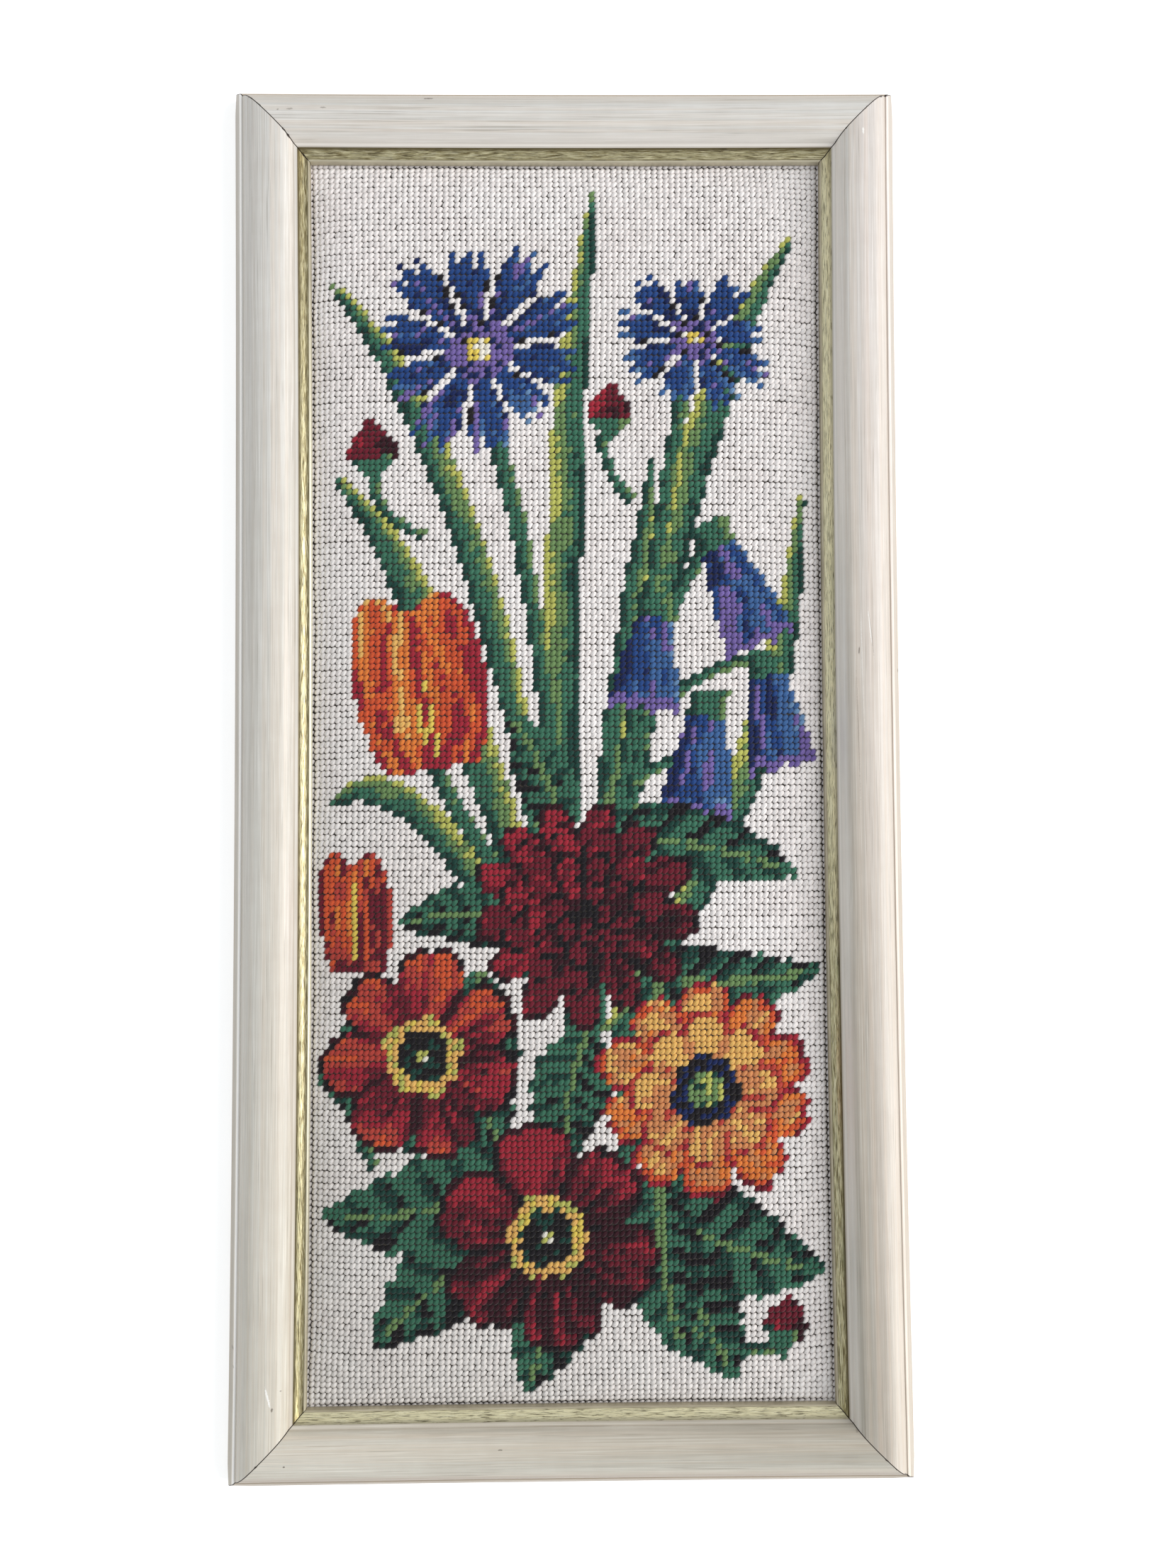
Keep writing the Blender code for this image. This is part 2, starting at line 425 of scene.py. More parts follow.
def cream_lip():
    """The thin pale gilt edge beside the canvas."""
    lip = RailFinish("cream lip")
    streak = lip.streaks(60.0, 900.0, 3.0)
    lip.start(streak, 0.3, 0.7, (0.0, (160, 150, 128)), (1.0, (202, 193, 168)))
    # lighter on the top rail, and a painted highlight along the middle of the left one
    middle = lip.between(lip.size_of(lip.height), 0.21, 0.10, 0.1, 0.9)
    pale_and_glint = lip.plus(lip.times(lip.on("top"), 0.2), lip.times(lip.on("left"), middle))
    lip.lay(pale_and_glint, (255, 250, 226))
    lip.shader["Metallic"].default_value = 0.4
    return lip.dress(streak, (0.45, 0.32))


def shaded_mitre_cut():
    """The sawn ends of the rails, their end grain darkened with painted shade for the narrow gap.
    """
    cut = Finish("shaded mitre cut")
    blotches = cut.noise(cut.place, 700.0)
    cut.start(blotches, 0.3, 0.7, (0.0, (88, 78, 72)), (1.0, (124, 110, 100)))
    return cut.dress(blotches, (0.95, 0.85))


def bare_wood():
    """Unpainted pine, on the back and in the rebate."""
    pine = RailFinish("bare wood")
    grain = pine.streaks(7.0, 420.0, 5.0, 0.6)
    pore = pine.streaks(90.0, 2600.0, 2.0)
    pine.start(grain, 0.3, 0.7, (0.0, (142, 104, 66)), (0.5, (184, 146, 100)),
               (1.0, (206, 172, 126)))
    pine.cover(pore, 0.40, 0.28, 0.5, (104, 70, 42))
    return pine.dress(grain, (0.85, 0.7), pore, 0.1 * MM, 0.5)


def pressed_board():
    """Brown pressed board, smooth with short fibres."""
    board = Finish("pressed board")
    cloud = board.noise(board.place, 14.0, 4.0)
    fibre = board.noise(board.vector("MULTIPLY", board.place, (900.0, 260.0, 600.0)), 1.0, 2.0)
    board.start(cloud, 0.3, 0.7, (0.0, (122, 94, 66)), (1.0, (158, 128, 94)))
    board.cover(fibre, 0.45, 0.65, 0.4, (186, 158, 122))
    return board.dress(fibre, (0.9, 0.75), fibre, 0.1 * MM, 0.5)


def shaded_canvas_cloth():
    """Open cotton canvas, coloured dark as painted shade, which shows only as the dark holes
    between stitches.
    """
    cloth = Finish("shaded canvas cloth")
    threads = [cloth.sum("SINE", cloth.times(way, math.tau / PITCH))
               for way in (cloth.aside, cloth.height)]
    weave = cloth.times(*threads)
    fibre = cloth.noise(cloth.place, 1800.0, 2.0)
    cloth.start(weave, -1.0, 1.0, (0.0, (40, 36, 33)), (1.0, (80, 73, 68)))
    cloth.cover(fibre, 0.3, 0.7, 0.4, (66, 58, 50))
    return cloth.dress(fibre, (0.95, 0.85), weave, 0.2 * MM, 0.8)


def dyed_wool(shade, colour):
    """Soft wool yarn in one dye, its fibres lying along the stitch."""
    wool = Finish(shade + " wool")
    turned = wool.take("ShaderNodeMapping", {
        "Vector": wool.place, "Rotation": (0.0, 0.0, -STRAND["Lean"])})
    fibre = wool.noise(wool.vector("MULTIPLY", turned, (500.0, 3400.0, 1500.0)), 1.0, 2.0, 0.6)
    tone = wool.add("ShaderNodeAttribute", attribute_name="tone").outputs["Fac"]
    along, across, _ = wool.parts(
        wool.add("ShaderNodeAttribute", attribute_name="strand").outputs["Vector"])
    twist = wool.plus(across, wool.times(along, 0.35))
    ply = wool.size_of(wool.sum("SINE", wool.times(twist, 3.6)))
    faded = wool.noise(wool.place, 45.0, 2.0)

    light = [min(255, c * 1.12 + 7) for c in colour]
    deep = [c * 0.80 for c in colour]
    wool.colour = (*screen(colour), 1.0)
    wool.cover(tone, 0.0, 1.0, 0.40, deep)
    wool.cover(faded, 0.35, 0.65, 0.25, light)
    # lighter and darker fibres along the stitch, partly painted highlight and shade
    wool.cover(fibre, 0.45, 0.70, 0.45, light)
    wool.cover(fibre, 0.45, 0.30, 0.35, deep)
    # painted shade in the grooves between the plies
    wool.cover(ply, 0.35, 0.0, 0.3, deep)
    # the wool is darker towards the lower left of the canvas
    corner = wool.plus(wool.height, wool.times(wool.aside, 1.5))
    wool.tint(wool.between(corner, 0.04, -0.34), (0.78, 0.78, 0.76))
    wool.shader["Specular IOR Level"].default_value = 0.25
    wool.shader["Sheen Weight"].default_value = 0.12
    wool.shader["Sheen Roughness"].default_value = 0.5
    relief = wool.plus(wool.times(ply, 0.8), fibre)
    return wool.dress(fibre, (0.95, 0.8), relief, 0.14 * MM, 0.7)


# Objects

def show(name, data):
    """A new object in the scene, at the origin."""
    item = bpy.data.objects.new(name, data)
    scene.collection.objects.link(item)
    return item


def show_smooth(name, builder, materials):
    """A smooth object of what the builder holds, with its faces pointing out."""
    bmesh.ops.recalc_face_normals(builder, faces=builder.faces)
    mesh = bpy.data.meshes.new(name)
    builder.to_mesh(mesh)
    builder.free()
    mesh.shade_smooth()
    for material in materials:
        mesh.materials.append(material)
    return show(name, mesh)


# The frame

def smooth_through(points, steps):
    """Points of a smooth curve that passes through the given ones."""
    padded = [points[0]] + points + [points[-1]]
    curve = []
    for before, start, end, after in zip(padded, padded[1:], padded[2:], padded[3:]):
        for step in range(steps):
            s = step / steps
            curve.append(tuple(
                0.5 * (2 * b + (c - a) * s + (2 * a - 5 * b + 4 * c - d) * s * s
                       + (3 * b - a - 3 * c + d) * s ** 3)
                for a, b, c, d in zip(before, start, end, after)))
    return curve + [points[-1]]


def rail_section():
    """The moulding's closed section: out, up, and the finish from there to the next point."""
    section = [(0.0, LIP_UNDERSIDE, "cream lip")]
    for finish, points in FACE_STRETCHES:
        section += [(out * MM, up * MM, finish) for out, up in smooth_through(points, CURVE_STEPS)]
    return section + [
        (RAIL_WIDTH, SIDE_HEIGHT, "brushed ivory"), (RAIL_WIDTH, 0.0, "bare wood"),
        (REBATE_WIDTH, 0.0, "bare wood"), (REBATE_WIDTH, LIP_UNDERSIDE, "bare wood")]


def rounded_corner(x, y):
    """Pulls a point of the frame's outer corner in to a small round."""
    over_x = abs(x) - (SIGHT_WIDTH / 2 + RAIL_WIDTH - OUTER_CORNER_RADIUS)
    over_y = abs(y) - (SIGHT_HEIGHT / 2 + RAIL_WIDTH - OUTER_CORNER_RADIUS)
    if over_x <= 0 or over_y <= 0:
        return x, y
    pull = 1 - max(over_x, over_y) / math.hypot(over_x, over_y)
    return x - math.copysign(over_x * pull, x), y - math.copysign(over_y * pull, y)


def make_rail(name, finishes):
    """One mitred rail, finer than its solid."""
    upright = name in ("right", "left")
    side = 1 if name in ("top", "right") else -1
    half_length, half_across = SIGHT_WIDTH / 2, SIGHT_HEIGHT / 2
    bow, stations = SHORT_RAIL_BOW, SHORT_RAIL_STATIONS
    if upright:
        half_length, half_across = half_across, half_length
        bow, stations = LONG_RAIL_BOW, LONG_RAIL_STATIONS
    start = RAILS.index(name) * RAIL_STEP
    mitre_setback = MITRE_GAP / math.sqrt(2)
    section = rail_section()
    slots = list(finishes)
    builder = bmesh.new()
    uv = builder.loops.layers.uv.new(RAIL_MAP)
    rings = []
    for station in range(stations + 1):
        t = 2 * station / stations - 1
        ring = []
        for out, up, _ in section:
            along = t * (half_length + out - mitre_setback)
            away = side * (half_across + out - bow * (1 - t * t))
            x, y = rounded_corner(away, along) if upright else rounded_corner(along, away)
            ring.append((builder.verts.new((x, y, up)), (along + start, out)))
        rings.append(ring)

    def add_face(corners, finish):
        face = builder.faces.new([vert for vert, _ in corners])
        face.material_index = slots.index(finish)
        for loop, (_, where) in zip(face.loops, corners):
            loop[uv].uv = where

    for ring, after in zip(rings, rings[1:]):
        for i, (_, _, finish) in enumerate(section):
            j = (i + 1) % len(section)
            add_face((ring[i], ring[j], after[j], after[i]), finish)
    add_face(rings[0], "shaded mitre cut")
    add_face(rings[-1], "shaded mitre cut")
    rail = show_smooth(f"moulding_{name}", builder, finishes.values())
    rail.data.set_sharp_from_angle(angle=SHARP_ANGLE)
    return rail


def make_frame():
    """Four finely moulded rails in place of the plain ones."""
    finishes = {finish.name: finish for finish in (
        brushed_ivory(), worn_gold(), cream_lip(), bare_wood(), shaded_mitre_cut())}
    for name in RAILS:
        rail = make_rail(name, finishes)
        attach(rail, "root")
        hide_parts(f"rail_{name}")


# The canvas

def swell(x, y):
    """Height that the canvas stands above its rim, and its slopes along X and Y."""
    inset_x = np.maximum(SIGHT_WIDTH / 2 - abs(x), 0.0)
    inset_y = np.maximum(SIGHT_HEIGHT / 2 - abs(y), 0.0)
    fall_x, fall_y = np.exp(-inset_x / SWELL_REACH), np.exp(-inset_y / SWELL_REACH)
    slope = SWELL_HEIGHT / SWELL_REACH
    return (SWELL_HEIGHT * (1 - fall_x) * (1 - fall_y),
            -np.sign(x) * slope * fall_x * (1 - fall_y) * (inset_x > 0),
            -np.sign(y) * slope * fall_y * (1 - fall_x) * (inset_y > 0))


def drawn_in(x, y):
    """A place on the canvas, once the stretched canvas has drawn the rails in."""
    return (x * (1 - LONG_RAIL_BOW / HALF_CANVAS_X * (1 - (y / HALF_CANVAS_Y) ** 2)),
            y * (1 - SHORT_RAIL_BOW / HALF_CANVAS_Y * (1 - (x / HALF_CANVAS_X) ** 2)))


def canvas_lines(half_sight, count):
    """Places of count stitches across the swelling canvas, one pitch apart on its surface."""
    inset = np.linspace(0.0, half_sight, GIRTH_STEPS)
    slope = SWELL_HEIGHT / SWELL_REACH * np.exp(-inset / SWELL_REACH)
    steps = np.sqrt(1 + slope ** 2) * (inset[1] - inset[0])
    from_edge = np.concatenate([[0.0], np.cumsum(steps)[:-1]])
    stitches = (np.arange(count) - (count - 1) / 2) * PITCH
    to_edge = from_edge[-1] - abs(stitches)
    place = half_sight - np.where(to_edge >= 0, np.interp(to_edge, from_edge, inset), to_edge)
    return np.sign(stitches) * place


def lattice(i, j, seed):
    """A repeatable value from 0 to 1 for each whole-numbered place."""
    value = np.sin(i * 127.1 + j * 311.7 + seed * 74.7) * 43758.5453
    return value - np.floor(value)


def mottle(x, y, seed):
    """Smooth variation from 0 to 1 over the plane."""
    i, j = np.floor(x), np.floor(y)
    u, v = x - i, y - j
    u, v = u * u * (3 - 2 * u), v * v * (3 - 2 * v)
    near = lattice(i, j, seed) * (1 - u) + lattice(i + 1, j, seed) * u
    far = lattice(i, j + 1, seed) * (1 - u) + lattice(i + 1, j + 1, seed) * u
    return near * (1 - v) + far * v


def bridge(builder, first, second):
    """Faces between two rows of points."""
    for corners in zip(first, first[1:], second[1:], second):
        builder.faces.new(corners)


def cloth_lines(half, count):
    """Grid lines across the cloth, closer together towards its edges."""
    quarter = math.pi / 2 * CLOTH_CROWDING
    return half * np.sin(np.linspace(-quarter, quarter, count)) / math.sin(quarter)


def make_ground():
    """The canvas cloth under the stitches, a thin closed sheet on the same swell."""
    x, y = np.meshgrid(cloth_lines(HALF_CANVAS_X, CLOTH_COLUMNS),
                       cloth_lines(HALF_CANVAS_Y, CLOTH_ROWS))
    rise = swell(x, y)[0]
    builder = bmesh.new()
    layers = []
    for depth in CLOTH_DEPTHS:
        points = np.stack([*drawn_in(x, y), CANVAS_RIM_TOP + rise - depth], -1)
        layers.append([[builder.verts.new(point) for point in row] for row in points])
    for rows in layers:
        for near, far in zip(rows, rows[1:]):
            bridge(builder, near, far)
    low, high = layers
    for end in (0, -1):
        bridge(builder, [row[end] for row in low], [row[end] for row in high])
        bridge(builder, low[end], high[end])
    return show_smooth("shaded_canvas_cloth", builder, [shaded_canvas_cloth()])


# The flower chart

# Wool shades, as a screen shows them
WOOLS = {
    "ecru": (250, 243, 241), "cream": (244, 238, 222),
    "navy": (20, 36, 86), "royal": (32, 68, 130), "cornflower": (62, 102, 156),
    "sky": (104, 140, 180), "violet": (118, 100, 166),
    "black": (24, 20, 26),
    "fir": (22, 64, 56), "green": (58, 112, 90), "fern": (110, 142, 90), "lime": (186, 188, 98),
    "maroon": (54, 16, 28), "burgundy": (110, 24, 42), "crimson": (160, 36, 54),
    "brick": (186, 68, 58), "vermilion": (212, 88, 50), "orange": (228, 128, 58),
    "tan": (208, 138, 88), "amber": (236, 184, 104), "yellow": (226, 200, 92),
}
SHADES = list(WOOLS)
GREENS = ("fir", "green", "fern")

col, row = np.meshgrid(np.arange(COLUMNS) + 0.5, np.arange(ROWS) + 0.5)
chart = np.full((ROWS, COLUMNS), SHADES.index("ecru"))


def work(mask, shades, tone):
    """Works the masked stitches, each in the shade that its tone, 0 dark to 1 light, asks for."""
    ladder = np.array([SHADES.index(shade) for shade in shades])
    uneven = tone + 0.14 * (lattice(np.floor(col), np.floor(row), 2) - 0.5)
    step = np.clip((uneven * len(shades)).astype(int), 0, len(shades) - 1)
    chart[mask] = ladder[step][mask]


def beside_curve(points):
    """Each stitch's place along a curve and to its side, its length, and which lie beside it."""
    t = np.linspace(0, 1, 80)[:, None]
    stretch = [np.array(point, float) for point in points]
    while len(stretch) > 1:
        stretch = [a * (1 - t) + b * t for a, b in zip(stretch, stretch[1:])]
    line = stretch[0]
    squares = (col[..., None] - line[:, 0]) ** 2 + (row[..., None] - line[:, 1]) ** 2
    near = np.argmin(squares, axis=-1)
    x, y = col - line[near, 0], row - line[near, 1]
    heading = np.gradient(line, axis=0)
    heading /= np.linalg.norm(heading, axis=1)[:, None]
    way_x, way_y = heading[near, 0], heading[near, 1]
    side = y * way_x - x * way_y
    ahead = x * way_x + y * way_y
    length = np.linalg.norm(np.diff(line, axis=0), axis=1).sum()
    beyond = ((near == 0) & (ahead < -0.6)) | ((near == len(line) - 1) & (ahead > 0.6))
    return near / (len(line) - 1), side, length, ~beyond


def blade(width, seed, lit_side, *points):
    """A long grassy leaf, light along one side and dark along the other."""
    t, side, length, beside = beside_curve(points)
    half = width / 2 * np.minimum(1, 0.45 + 1.8 * t) * np.clip((1 - t) * 3.2, 0, 1) ** 0.7 + 0.35
    across = lit_side * side / half
    tone = 0.5 + 0.42 * across + 0.35 * (mottle(t * length / 7, side / 1.3, seed) - 0.5)
    work(beside & (abs(across) < 1), (*GREENS, "lime"), tone)


def stem(width, *points):
    """A round stem, lighter to one side."""
    t, side, length, beside = beside_curve(points)
    tone = 0.5 + 0.5 * side / width + 0.3 * (mottle(t * length / 4, side, 1) - 0.5)
    work(beside & (abs(side) < width / 2 + 0.15), GREENS, tone)


def leaf(base, tip, bend, width, seed):
    """A broad veined leaf with a toothed edge."""
    teeth = 7
    base, tip = np.array(base, float), np.array(tip, float)
    middle = (base + tip) / 2 + bend * np.array([base[1] - tip[1], tip[0] - base[0]])
    t, side, length, beside = beside_curve([base, middle, tip])
    outline = np.sin(np.pi * t ** 0.75) ** 0.8 * (1 - 0.16 * ((t * teeth) % 1))
    across = side / (width / 2 * outline + 0.3)
    vein = (t * teeth * 0.9 - 0.75 * abs(across)) % 1
    tone = (0.35 + 0.3 * across + 0.45 * (vein > 0.45) - 0.25 * (vein < 0.16)
            + 0.35 * (mottle(t * length / 3, side / 2.2, seed) - 0.5))
    mask = beside & (abs(across) < 1)
    work(mask, ("black", "fir", "fir", "green", "green"), tone)
    work(mask & (abs(side) < 0.62) & (t < 0.9), ("fern",), tone)
    work(mask & (vein > 0.88) & (abs(across) < 0.75) & (t > 0.12), ("green",), tone)


def polar(centre, squash=1.0, turn=0.0):
    """Distance and direction of each stitch from a flower's middle."""
    x, y = col - centre[0], row - centre[1]
    c, s = math.cos(turn), math.sin(turn)
    x, y = x * c + y * s, (y * c - x * s) / squash
    return np.hypot(x, y), np.arctan2(y, x)


def petal_at(angle, count, phase):
    """The number of the petal in each direction, and the place across it, -0.5 to 0.5."""
    turn = (angle - phase) / (math.tau / count)
    number = np.floor(turn + 0.5)
    return number, turn - number


def petals(centre, radius, count, phase, shades, seed, point=2.0, depth=0.35, edge=None,
           vein=0.60, seam=0.75, rim=("black", "maroon")):
    """One ring of petals round a middle, parted by dark seams and with a dark broken rim."""
    ruffle = 0.05
    r, angle = polar(centre)
    k, a = petal_at(angle, count, phase)
    size = radius * (1 + ruffle * (2 * lattice(k, 3, seed) - 1))
    outline = size * (1 - depth * abs(2 * a) ** point)
    outline = outline + radius * ruffle * (mottle(angle * count * 1.6, 0.0, seed + 5) - 0.5)
    reach = r / outline
    mask = reach < 1
    streak = mottle(a * 9 + k * 3.7, reach * 1.7, seed)
    tone = (0.14 + 0.46 * reach + 0.16 * np.cos(angle + 2.2) + vein * (streak - 0.5)
            - 0.35 * abs(2 * a) ** 3 + 0.26 * lattice(k, 8, seed))
    work((reach >= 1) & (r < outline + 1.0) & (streak > 0.22), rim, streak)
    work(mask, shades, tone)
    at_seam = (0.5 - abs(a)) * (math.tau / count) * r < seam
    work(mask & at_seam & (r > 1), shades[:2], streak)
    if edge:
        work(mask & (reach > 1 - 1.1 / radius) & (streak > 0.35), (edge,), tone)


def dahlia(centre, radius, seed):
    """Rings of pointed petals that lie over one another."""
    rings = [(1.0, 13, 0.1, 2.4), (0.76, 11, 0.5, 2.2), (0.52, 9, 0.9, 2.0), (0.3, 6, 0.2, 2.0)]
    for layer, (share, count, phase, point) in enumerate(rings):
        petals(centre, radius * share, count, phase,
               ("black", "maroon", "burgundy", "burgundy", "crimson"), seed + layer, point, 0.34,
               seam=0.62)
    heart = polar(centre)[0] < radius * 0.12
    work(heart, ("black", "maroon"), mottle(col / 1.4, row / 1.4, seed))


def zinnia(centre, radius, seed):
    """Two rings of blunt amber petals round a dark green button."""
    petals(centre, radius, 10, 0.3, ("crimson", "vermilion", "orange", "tan", "amber"), seed,
           4, 0.26, edge="vermilion", rim=("burgundy", "crimson"))
    petals(centre, radius * 0.68, 8, 0.0, ("brick", "tan", "tan", "amber", "amber"), seed + 1,
           3.5, 0.24, rim=("crimson", "brick"))
    r, angle = polar(centre)
    ring = mottle(angle * 4, r / 1.2, seed + 7)
    core = radius * 0.33
    work(r < core * (0.875 + 0.25 * ring), ("navy", "black", "navy"), ring)
    work(r < core * 0.55, ("fir", "fern", "lime"), ring)


def windflower(centre, radius, seed, shades, count=7):
    """Broad rounded petals, a pale ring and a dark eye."""
    petals(centre, radius, count, 0.35, shades, seed, 3.2, 0.30, vein=0.85)
    r, angle = polar(centre)
    ring = mottle(angle * 6, r, seed + 9)
    work(r < radius * (0.34 + 0.1 * ring), ("yellow", "amber", "lime"), ring)
    work(r < radius * (0.22 + 0.08 * ring), ("black", "black", "fir"), ring)
    work(r < radius * 0.08, ("lime", "cream"), ring)


def cornflower(centre, radius, seed, count, phase=0.0, squash=1.0, turn=0.0):
    """Trumpet florets with cut tips round a tight violet heart."""
    r, angle = polar(centre, squash, turn)
    k, a = petal_at(angle, count, phase)
    size = radius * (0.88 + 0.24 * lattice(k, 1, seed))
    tooth = abs(((a + 0.5) * 4) % 1 - 0.5) * 2
    outline = size * (0.78 + 0.22 * tooth) * (1 - 0.5 * abs(2 * a) ** 6)
    flare = 0.29 + 0.24 * np.clip(r / size, 0, 1) ** 1.2
    mask = (r < outline) & (abs(a) < flare)
    streak = mottle(a * 10 + k * 5.3, r / 5, seed)
    tone = 0.12 + 0.50 * r / size + 0.75 * (streak - 0.5) - 0.1 * np.cos(angle + 2.2)
    work(mask, ("navy", "royal", "royal", "cornflower", "sky"), tone)
    work(mask & (streak > 0.78) & (r > radius * 0.3), ("violet",), tone)
    work(mask & (abs(a) > flare - 0.07) & (r < size * 0.75), ("black", "navy"), streak)
    heart = mottle(angle * 5, r / 1.5, seed + 4)
    work(r < radius * (0.24 + 0.10 * heart), ("black", "navy", "violet", "violet"), heart + 0.1)
    work(r < radius * 0.12, ("yellow", "cream"), heart)


def along_line(base, tip):
    """Of each stitch: its place from base, 0, to tip, 1, its distance aside, and the length."""
    run_x, run_y = tip[0] - base[0], tip[1] - base[1]
    length = math.hypot(run_x, run_y)
    x, y = col - base[0], row - base[1]
    return (x * run_x + y * run_y) / length ** 2, (y * run_x - x * run_y) / length, length


def bell(base, mouth, width, seed):
    """A hanging bell seen from the side, with a turned-out rim."""
    s, d, length = along_line(base, mouth)
    within = np.clip(s, 0, 1)
    half = width / 2 * (0.42 + 0.58 * within ** 1.6 + 0.12 * np.sin(np.pi * within))
    across = d / half
    rim = 1 + 0.20 * abs(((across + 1) * 1.5) % 1 - 0.5)
    mask = (s > 0) & (s < rim) & (abs(across) < 1)
    streak = mottle(across * 4, s * length / 6, seed)
    tone = 0.38 - 0.34 * across + 0.8 * (streak - 0.5) + 0.1 * s
    work(mask, ("navy", "royal", "cornflower", "cornflower", "sky"), tone)
    work(mask & ((streak > 0.66) | (s > rim - 0.10)), ("violet",), tone)
    work((s > -0.12) & (s < 0.14) & (abs(d) < width * 0.26), GREENS, 0.5 - d / width)


def tulip(base, tip, width, seed, shades=("crimson", "vermilion", "orange", "orange", "amber")):
    """A cup of three showing petals."""
    s, d, length = along_line(base, tip)
    for centre, lean, size in ((-0.27, -0.10, 1.0), (0.27, 0.10, 0.97), (0.0, 0.0, 0.90)):
        along = np.clip(s / size, 0, 1)
        half = 0.62 * np.sqrt(np.clip(1 - (2 * along - 0.86) ** 2 / 1.32, 0, 1))
        across = (d / (width / 2) - centre - lean * s * 2) / np.maximum(half, 0.01)
        mask = (s > 0) & (s < size) & (abs(across) < 1)
        streak = mottle(across * 4 + centre * 9, s * length / 8, seed + int(centre * 10))
        tone = 0.28 + 0.3 * s - 0.18 * across + 0.9 * (streak - 0.5)
        work(mask, shades, tone)
        work(mask & (abs(across) > 0.80), shades[:2], streak)
        if centre == 0.0:
            work(mask & (abs(across) < 0.28 * (1 - s)) & (streak > 0.3), ("yellow",), tone)


def bud(base, tip, width, seed):
    """A closed red bud in a green cup."""
    s, d, length = along_line(base, tip)
    half = width / 2 * np.sin(np.pi * np.clip(s, 0.02, 1) ** 0.8)
    tone = 0.5 - 0.5 * d / width + 0.4 * (mottle(d, s * length / 2, seed) - 0.5)
    work((s > 0) & (s < 1) & (abs(d) < half + 0.2), ("maroon", "burgundy", "crimson"), tone)
    work((s > -0.15) & (s < 0.34) & (abs(d) < half * 0.9 + 0.4), GREENS, 0.5 + 0.5 * d / width)


def work_chart():
    """A spray of garden flowers, worked from the back of the bunch to its front."""
    blade(6.0, 11, -1, (48, 150), (56, 100), (62, 50), (84, 14))
    blade(5.6, 12, 1, (42, 140), (30, 104), (20, 70), (5, 56))
    blade(5.4, 13, -1, (44, 130), (45, 90), (42, 60), (50, 5))
    blade(4.6, 15, 1, (38, 140), (26, 116), (14, 104), (4, 112))
    blade(5.0, 14, -1, (52, 150), (70, 124), (82, 100), (86, 58))
    blade(4.4, 16, 1, (40, 120), (34, 80), (22, 40), (4, 22))
    blade(4.0, 17, 1, (50, 120), (54, 96), (56, 84), (60, 52))
    stem(2.6, (46, 165), (44, 110), (40, 70), (30, 40))
    stem(2.2, (48, 160), (54, 110), (60, 70), (66, 36))
    stem(2.4, (44, 140), (36, 126), (26, 116), (22, 104))

    cornflower((30, 34), 18.5, 3, 10, phase=0.2)
    cornflower((67, 32), 14, 8, 9, squash=0.86, turn=0.5)

    stem(1.8, (52, 128), (60, 100), (58, 80), (70, 68))
    stem(1.5, (58, 96), (66, 92), (74, 86), (80, 88))
    stem(1.5, (56, 108), (62, 104), (66, 104), (70, 106))
    bell((70, 66), (78, 84), 13, 22)
    bell((60, 78), (58, 95), 12, 21)
    bell((79, 88), (82, 105), 12, 23)
    bell((69, 95), (67, 113), 13, 24)

    tulip((22, 106), (17, 76), 23, 31)
    tulip((9, 140), (8, 120), 13, 33, ("burgundy", "brick", "vermilion", "vermilion", "orange"))

    for values in [
            ((44, 118), (34, 96), 0.14, 10, 40), ((46, 120), (84, 124), -0.16, 14, 42),
            ((52, 140), (88, 140), 0.12, 12, 49), ((40, 132), (16, 132), 0.14, 11, 41),
            ((44, 170), (3, 180), -0.18, 20, 43), ((54, 176), (88, 190), 0.14, 20, 44),
            ((40, 182), (12, 202), 0.12, 17, 45), ((48, 186), (38, 210), 0.10, 15, 48),
            ((58, 186), (72, 208), -0.10, 16, 46), ((24, 168), (2, 158), 0.1, 12, 47),
            ((48, 150), (44, 172), 0.1, 14, 50), ((30, 140), (34, 172), 0.12, 13, 56),
            ((60, 140), (54, 172), -0.12, 13, 57), ((60, 176), (64, 204), 0.1, 14, 58)]:
        leaf(*values)

    stem(1.5, (12, 172), (8, 166), (6, 158), (7, 150))
    stem(1.4, (62, 196), (72, 205), (80, 205), (80, 200))
    bud((80, 203), (82, 194), 7, 53)
    stem(1.4, (56, 60), (52, 56), (50, 52), (52, 46))
    bud((52, 49), (53, 40), 7, 54)
    stem(1.4, (20, 66), (14, 64), (11, 60), (12, 54))
    bud((12, 56), (11, 46), 8, 55)

    dahlia((47, 130), 18.5, 61)
    windflower((20, 154), 16.5, 81, ("maroon", "burgundy", "crimson", "brick", "vermilion"))
    zinnia((68, 160), 17.5, 71)
    windflower((41, 184), 17.5, 91, ("black", "maroon", "maroon", "burgundy", "crimson"), count=6)


# The stitches

